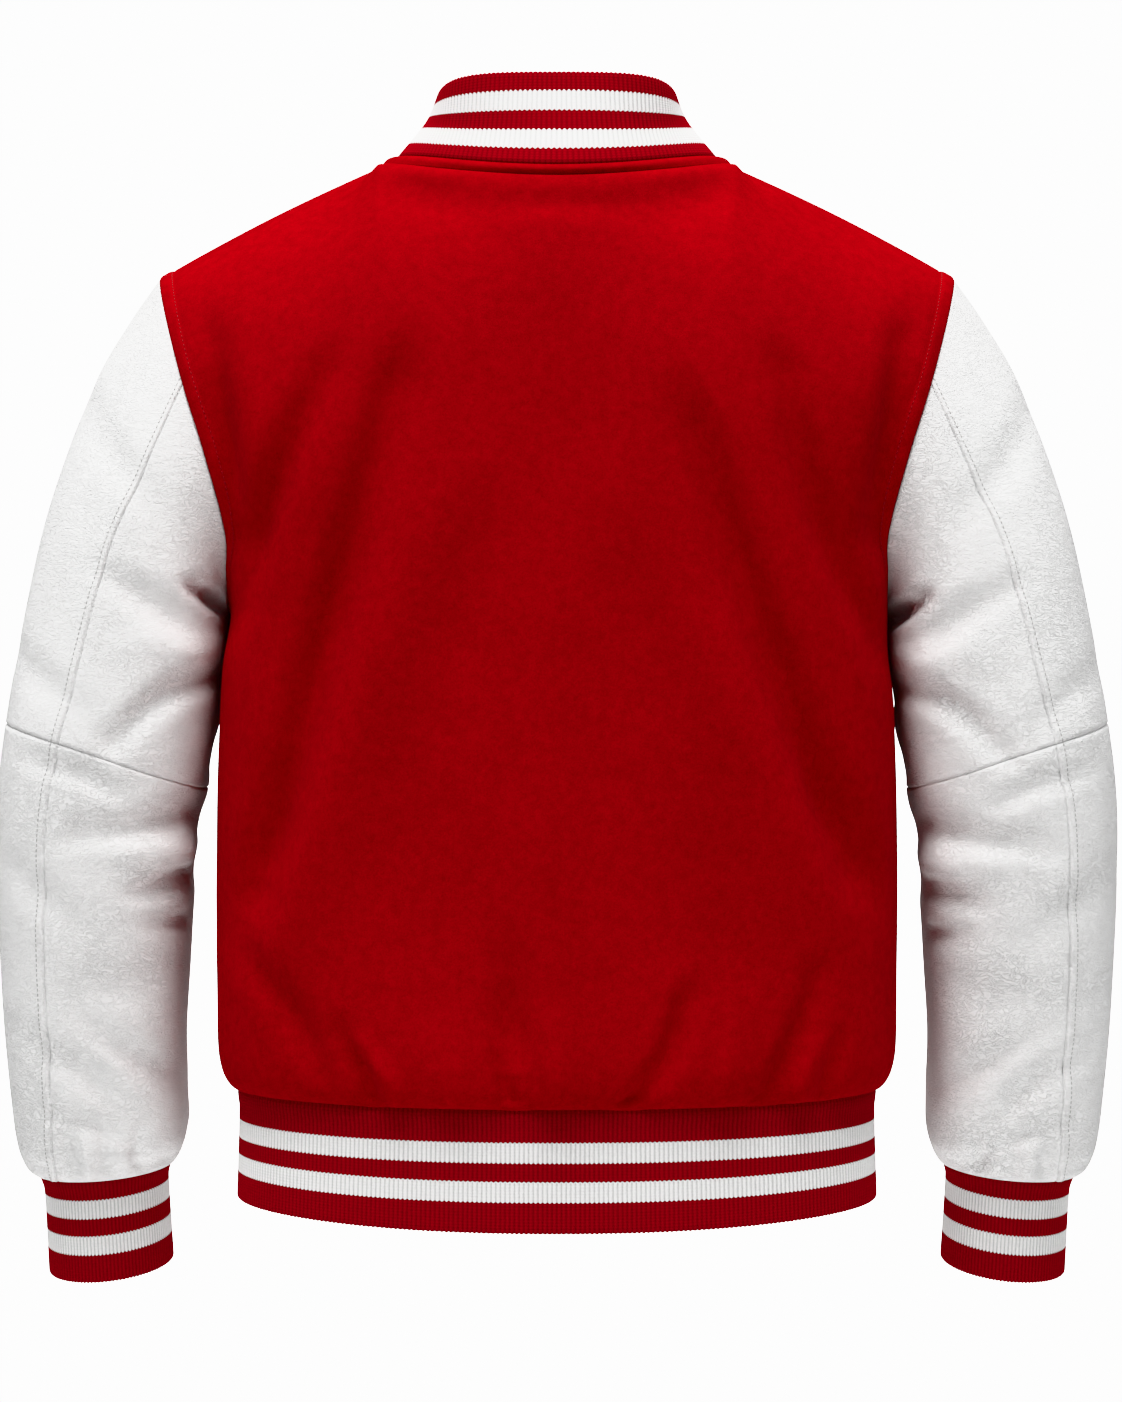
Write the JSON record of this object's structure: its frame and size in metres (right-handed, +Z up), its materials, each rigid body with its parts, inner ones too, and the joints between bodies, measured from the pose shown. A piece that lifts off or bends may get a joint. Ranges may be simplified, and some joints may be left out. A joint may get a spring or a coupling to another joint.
{
  "type": "varsity jacket",
  "caption": "Filled-out varsity jacket with a wool body, leather sleeves, a striped rib-knit stand collar, cuffs and hem band, and a snap front.",
  "frame": {"origin": "middle of the neck, level with the points where the shoulder seams reach the neck", "axes": "+Z up, the front of the jacket faces -Y, and the wearer's left is +X"},
  "size_m": [0.7096, 0.283, 0.7579],
  "materials": {
    "wool": "matt bright red wool melton with a short nap",
    "leather": "pebbled white leather, semi-matt",
    "knit": "red rib knit with two white stripes",
    "snap": "white enamelled snap cap"
  },
  "bodies": {
    "root": {"back": "wool", "front_left": "wool", "front_right": "wool", "neck_band": "wool", "sleeve_left_upper": "leather", "sleeve_left_upper_lower": "leather", "sleeve_left_under": "leather", "sleeve_left_under_lower": "leather", "sleeve_right_upper": "leather", "sleeve_right_upper_lower": "leather", "sleeve_right_under": "leather", "sleeve_right_under_lower": "leather", "collar": "knit", "hem_band": "knit", "cuff_left": "knit", "cuff_right": "knit", "snap_1": "snap", "snap_2": "snap", "snap_3": "snap", "snap_4": "snap", "snap_5": "snap", "snap_6": "snap", "snap_7": "snap"}
  },
  "joints": []
}
